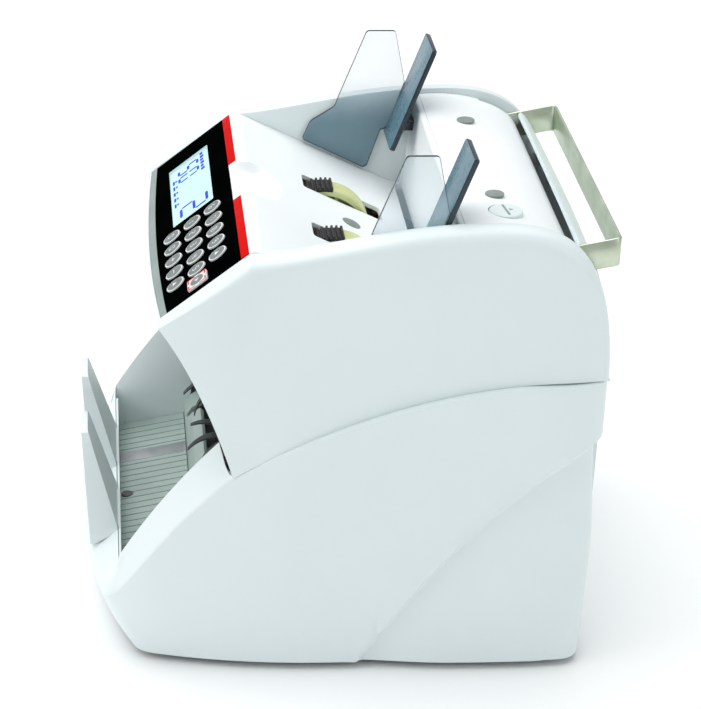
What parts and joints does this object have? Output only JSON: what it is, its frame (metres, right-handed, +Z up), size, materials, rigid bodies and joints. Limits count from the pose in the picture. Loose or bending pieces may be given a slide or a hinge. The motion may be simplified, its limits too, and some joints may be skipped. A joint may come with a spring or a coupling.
{
  "type": "banknote counting machine",
  "caption": "Desktop banknote counting machine with a sloping top hopper, sliding note guides, a front stacker pocket, a tilted key panel with display, and a folding rear handle.",
  "frame": {"origin": "centre of the bounding box at the underside of the feet", "axes": "+Z up, the stacker and control panel face -Y, +X to the right-hand side wall as seen from behind"},
  "size_m": [0.2304, 0.252, 0.2586],
  "materials": {
    "shell": "satin",
    "tray": "satin",
    "panel_black": "matte",
    "stripe_red": "gloss",
    "trim_grey": "matte",
    "lcd": "gloss",
    "board_green": "satin",
    "pocket_grey": "satin",
    "steel": "satin",
    "lens": "gloss",
    "bronze": "satin",
    "transformer_grey": "satin",
    "black_plastic": "matte",
    "plug_grey": "matte",
    "motor_grey": "satin",
    "roller_cream": "matte",
    "rubber_black": "matte",
    "impeller_green": "matte",
    "smoke_clear": "gloss",
    "acetal": "satin",
    "handle_metal": "brushed",
    "key_grey": "matte",
    "key_red": "satin"
  },
  "bodies": {
    "housing": {"base_plate": "steel", "rubber_feet": "rubber_black", "lower_housing": "shell", "rear_cover": "shell", "upper_cover": "shell", "hopper_tray": "tray", "rear_deck": "tray", "control_panel": "panel_black", "stripe_trim": "stripe_red", "panel_edge_trim": "trim_grey", "lcd_display": "lcd", "panel_board": "board_green", "stacker_fence": "shell", "stacker_floor": "pocket_grey", "stacker_strips": "steel", "sensor_lenses": "lens", "stacker_comb": "pocket_grey", "side_frames": "steel", "shaft_bushes": "bronze", "guide_rail": "steel", "main_board": "board_green", "transformer": "transformer_grey", "power_inlet": "black_plastic", "cover_screws": "steel", "deck_plugs": "plug_grey", "motor": "motor_grey", "drive_belt": "rubber_black"},
    "motor_drive": {"motor_pulley": "black_plastic"},
    "feed_drive": {"feed_shaft": "steel", "feed_rollers": "roller_cream", "feed_tyres": "rubber_black"},
    "transport_drive": {"transport_shaft": "steel", "transport_rollers": "rubber_black"},
    "impeller_drive": {"impeller_shaft": "steel", "impeller_wheels": "impeller_green"},
    "guide_right": {"note_guide_right": "smoke_clear", "guide_rack_right": "acetal"},
    "guide_left": {"note_guide_left": "smoke_clear", "guide_rack_left": "acetal"},
    "pinion": {"guide_pinion": "acetal"},
    "handle": {"carry_handle": "handle_metal"},
    "knob": {"adjust_knob": "shell"},
    "separator": {"separator_block": "black_plastic"},
    "switch": {"power_switch": "black_plastic"},
    "key_body_1": {"key_1": "key_grey"},
    "key_body_2": {"key_2": "key_grey"},
    "key_body_3": {"key_3": "key_grey"},
    "key_body_4": {"key_4": "key_grey"},
    "key_body_5": {"key_5": "key_grey"},
    "key_body_6": {"key_6": "key_grey"},
    "key_body_7": {"key_7": "key_grey"},
    "key_body_8": {"key_8": "key_grey"},
    "key_body_9": {"key_9": "key_grey"},
    "key_body_10": {"key_10": "key_grey"},
    "key_body_11": {"key_11": "key_grey"},
    "key_body_12": {"key_12": "key_grey"},
    "key_body_13": {"key_13": "key_grey"},
    "key_body_14": {"key_14": "key_grey"},
    "key_body_15": {"key_15": "key_grey"},
    "key_body_start": {"key_start": "key_red"}
  },
  "joints": [
    {"name": "feed_spin", "type": "hinge", "parent": "housing", "child": "feed_drive", "pos_m": [0, -0.002, 0.172], "axis": [1, 0, 0], "continuous": true},
    {"name": "transport_spin", "type": "hinge", "parent": "housing", "child": "transport_drive", "pos_m": [0, 0.036, 0.148], "axis": [1, 0, 0], "continuous": true},
    {"name": "impeller_spin", "type": "hinge", "parent": "housing", "child": "impeller_drive", "pos_m": [0, -0.046, 0.084], "axis": [1, 0, 0], "continuous": true},
    {"name": "motor_spin", "type": "hinge", "parent": "housing", "child": "motor_drive", "pos_m": [-0.0995, 0.04, 0.062], "axis": [1, 0, 0], "continuous": true},
    {"name": "guide_right_slide", "type": "slide", "parent": "housing", "child": "guide_right", "axis": [-1, 0, 0], "range_m": [0, 0.027]},
    {"name": "guide_left_slide", "type": "slide", "parent": "housing", "child": "guide_left", "axis": [1, 0, 0], "range_m": [0, 0.027]},
    {"name": "pinion_spin", "type": "hinge", "parent": "housing", "child": "pinion", "pos_m": [0, 0.074, 0.2034], "axis": [0, 0, 1], "range_deg": [-262, 4]},
    {"name": "handle_swing", "type": "hinge", "parent": "housing", "child": "handle", "pos_m": [0, 0.104, 0.2084], "axis": [1, 0, 0], "range_deg": [0, 80]},
    {"name": "knob_turn", "type": "hinge", "parent": "housing", "child": "knob", "pos_m": [0.07, 0.074, 0.222], "axis": [0, 0, 1], "range_deg": [-182, 182]},
    {"name": "separator_lift", "type": "slide", "parent": "housing", "child": "separator", "axis": [0, 0, 1], "range_m": [-0.0005, 0.0005]},
    {"name": "switch_rock", "type": "hinge", "parent": "housing", "child": "switch", "pos_m": [-0.062, 0.1186, 0.054], "axis": [1, 0, 0], "range_deg": [-8, 8]},
    {"name": "key_1_press", "type": "slide", "parent": "housing", "child": "key_body_1", "axis": [0, 0.6244, -0.7811], "range_m": [0, 0.0008], "stiffness_N_per_m": 300, "springref_m": -0.001},
    {"name": "key_2_press", "type": "slide", "parent": "housing", "child": "key_body_2", "axis": [0, 0.6244, -0.7811], "range_m": [0, 0.0008], "stiffness_N_per_m": 300, "springref_m": -0.001},
    {"name": "key_3_press", "type": "slide", "parent": "housing", "child": "key_body_3", "axis": [0, 0.6244, -0.7811], "range_m": [0, 0.0008], "stiffness_N_per_m": 300, "springref_m": -0.001},
    {"name": "key_4_press", "type": "slide", "parent": "housing", "child": "key_body_4", "axis": [0, 0.6244, -0.7811], "range_m": [0, 0.0008], "stiffness_N_per_m": 300, "springref_m": -0.001},
    {"name": "key_5_press", "type": "slide", "parent": "housing", "child": "key_body_5", "axis": [0, 0.6244, -0.7811], "range_m": [0, 0.0008], "stiffness_N_per_m": 300, "springref_m": -0.001},
    {"name": "key_6_press", "type": "slide", "parent": "housing", "child": "key_body_6", "axis": [0, 0.6244, -0.7811], "range_m": [0, 0.0008], "stiffness_N_per_m": 300, "springref_m": -0.001},
    {"name": "key_7_press", "type": "slide", "parent": "housing", "child": "key_body_7", "axis": [0, 0.6244, -0.7811], "range_m": [0, 0.0008], "stiffness_N_per_m": 300, "springref_m": -0.001},
    {"name": "key_8_press", "type": "slide", "parent": "housing", "child": "key_body_8", "axis": [0, 0.6244, -0.7811], "range_m": [0, 0.0008], "stiffness_N_per_m": 300, "springref_m": -0.001},
    {"name": "key_9_press", "type": "slide", "parent": "housing", "child": "key_body_9", "axis": [0, 0.6244, -0.7811], "range_m": [0, 0.0008], "stiffness_N_per_m": 300, "springref_m": -0.001},
    {"name": "key_10_press", "type": "slide", "parent": "housing", "child": "key_body_10", "axis": [0, 0.6244, -0.7811], "range_m": [0, 0.0008], "stiffness_N_per_m": 300, "springref_m": -0.001},
    {"name": "key_11_press", "type": "slide", "parent": "housing", "child": "key_body_11", "axis": [0, 0.6244, -0.7811], "range_m": [0, 0.0008], "stiffness_N_per_m": 300, "springref_m": -0.001},
    {"name": "key_12_press", "type": "slide", "parent": "housing", "child": "key_body_12", "axis": [0, 0.6244, -0.7811], "range_m": [0, 0.0008], "stiffness_N_per_m": 300, "springref_m": -0.001},
    {"name": "key_13_press", "type": "slide", "parent": "housing", "child": "key_body_13", "axis": [0, 0.6244, -0.7811], "range_m": [0, 0.0008], "stiffness_N_per_m": 300, "springref_m": -0.001},
    {"name": "key_14_press", "type": "slide", "parent": "housing", "child": "key_body_14", "axis": [0, 0.6244, -0.7811], "range_m": [0, 0.0008], "stiffness_N_per_m": 300, "springref_m": -0.001},
    {"name": "key_15_press", "type": "slide", "parent": "housing", "child": "key_body_15", "axis": [0, 0.6244, -0.7811], "range_m": [0, 0.0008], "stiffness_N_per_m": 300, "springref_m": -0.001},
    {"name": "key_start_press", "type": "slide", "parent": "housing", "child": "key_body_start", "axis": [0, 0.6244, -0.7811], "range_m": [0, 0.0008], "stiffness_N_per_m": 300, "springref_m": -0.001}
  ],
  "couplings": [
    {"joint": "transport_spin", "follows": "feed_spin", "ratio": 1},
    {"joint": "impeller_spin", "follows": "feed_spin", "ratio": 0.66667},
    {"joint": "motor_spin", "follows": "feed_spin", "ratio": 1.5714},
    {"joint": "guide_left_slide", "follows": "guide_right_slide", "ratio": 1},
    {"joint": "pinion_spin", "follows": "guide_right_slide", "rad_per_m": -166.67},
    {"joint": "knob_turn", "follows": "separator_lift", "rad_per_m": 6283.2}
  ]
}
